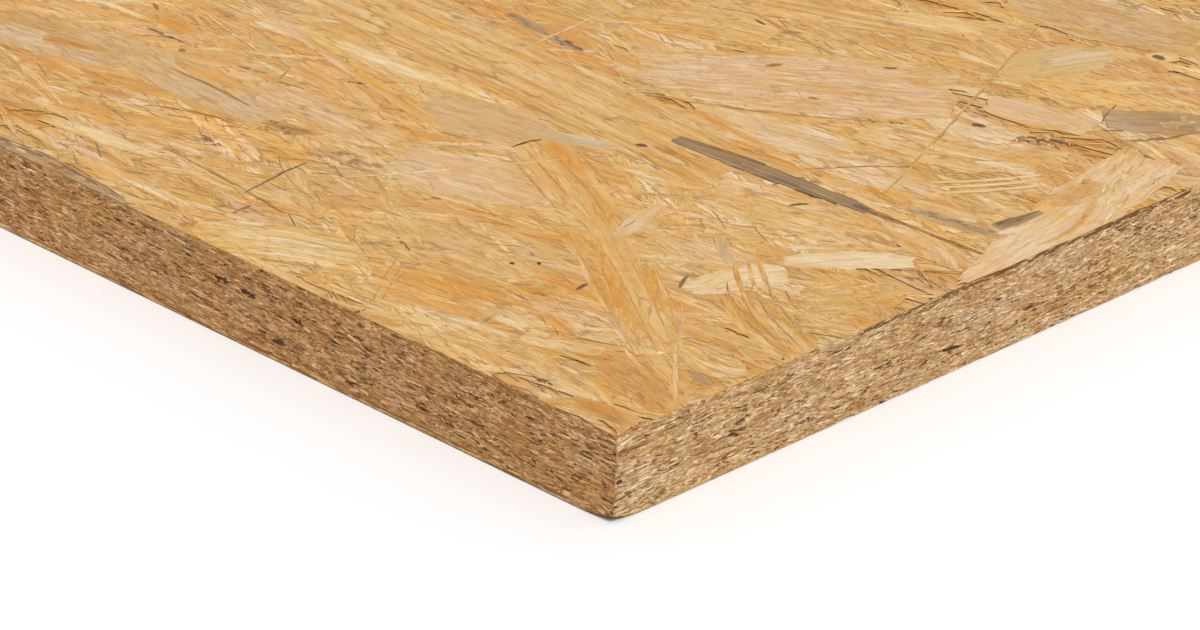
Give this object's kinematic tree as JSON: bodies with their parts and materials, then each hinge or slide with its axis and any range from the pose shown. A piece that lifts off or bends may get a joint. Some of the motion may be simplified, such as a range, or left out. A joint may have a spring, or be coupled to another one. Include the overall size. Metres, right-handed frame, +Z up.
{
  "type": "osb panel",
  "caption": "Flat rectangular panel of pressed wood strands with square sawn edges, laid as flooring, wall or roof sheathing.",
  "frame": {"origin": "middle of the underside", "axes": "+X along the panel's length, the way most face strands lie; +Y across its width; +Z up through its thickness"},
  "size_m": [2.5, 1.25, 0.022],
  "materials": {
    "strand_board": "pressed strands, dull with a faint resin sheen on the faces, dry and open on the sawn edges"
  },
  "bodies": {
    "root": {"osb_panel": "strand_board"}
  },
  "joints": []
}
